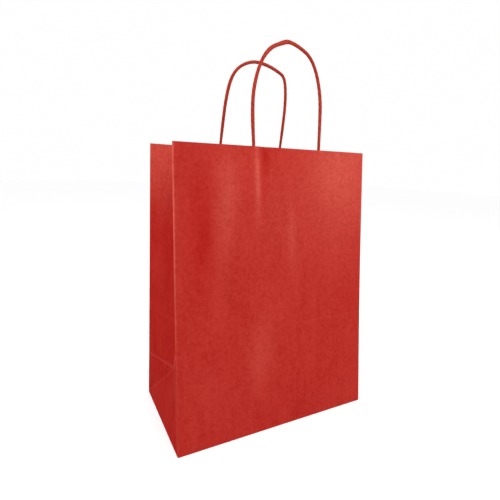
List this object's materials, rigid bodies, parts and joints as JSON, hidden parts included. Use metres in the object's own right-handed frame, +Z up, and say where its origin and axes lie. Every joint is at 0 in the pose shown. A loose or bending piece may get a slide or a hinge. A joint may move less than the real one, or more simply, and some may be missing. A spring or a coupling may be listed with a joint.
{
  "type": "gift bag",
  "caption": "Standing paper gift bag with folded side gussets, a flat folded bottom and two twisted paper cord loop handles.",
  "frame": {"origin": "middle of the base, on the surface that the bag stands on", "axes": "+X to the bag's right seen from its front, +Y from the front wall to the back wall, +Z up; the front faces -Y"},
  "size_m": [0.24, 0.12, 0.421],
  "materials": {
    "bag_paper": "matte red kraft paper with fine fibre mottling and faint vertical ribs",
    "patch_paper": "matte white kraft paper strip, formed over the glued cord ends",
    "twisted_paper_cord": "red paper twisted into a tight cord, soft sheen along the twist"
  },
  "bodies": {
    "base": {"bottom_front_flap": "bag_paper", "bottom_back_flap": "bag_paper", "bottom_left_tuck": "bag_paper", "bottom_right_tuck": "bag_paper", "left_gusset_heel": "bag_paper", "right_gusset_heel": "bag_paper", "left_gusset_front_edge": "bag_paper", "left_gusset_front_fold": "bag_paper", "left_gusset_back_edge": "bag_paper", "left_gusset_back_fold": "bag_paper", "right_gusset_front_edge": "bag_paper", "right_gusset_front_fold": "bag_paper", "right_gusset_back_edge": "bag_paper", "right_gusset_back_fold": "bag_paper"},
    "front_panel": {"front_wall": "bag_paper", "front_outer_patch": "patch_paper", "front_inner_patch": "patch_paper", "front_cord_ends": "twisted_paper_cord", "front_cord_necks": "twisted_paper_cord"},
    "back_panel": {"back_wall": "bag_paper", "side_seam_flap": "bag_paper", "back_outer_patch": "patch_paper", "back_inner_patch": "patch_paper", "back_cord_ends": "twisted_paper_cord", "back_cord_necks": "twisted_paper_cord"},
    "front_handle": {"front_handle_loop": "twisted_paper_cord"},
    "back_handle": {"back_handle_loop": "twisted_paper_cord"}
  },
  "joints": [
    {"name": "front_lean", "type": "hinge", "parent": "base", "child": "front_panel", "pos_m": [0, -0.0594, 0.0006], "axis": [1, 0, 0], "range_deg": [-1, 5.5], "stiffness_Nm_per_rad": 0.15, "springref_deg": 1.22, "deforming": ["left_gusset_front_edge", "left_gusset_front_fold", "right_gusset_front_edge", "right_gusset_front_fold"]},
    {"name": "back_lean", "type": "hinge", "parent": "base", "child": "back_panel", "pos_m": [0, 0.0594, 0.0008], "axis": [-1, 0, 0], "range_deg": [-2, 1], "stiffness_Nm_per_rad": 0.15, "springref_deg": 0.23, "deforming": ["left_gusset_back_edge", "left_gusset_back_fold", "right_gusset_back_edge", "right_gusset_back_fold"]},
    {"name": "front_handle_swing", "type": "hinge", "parent": "front_panel", "child": "front_handle", "pos_m": [0.0095, -0.02782, 0.31241], "axis": [1, 0, 0], "range_deg": [-8, 120], "deforming": ["front_cord_necks"]},
    {"name": "back_handle_swing", "type": "hinge", "parent": "back_panel", "child": "back_handle", "pos_m": [0.0095, 0.05238, 0.31412], "axis": [-1, 0, 0], "range_deg": [-8, 120], "deforming": ["back_cord_necks"]}
  ]
}
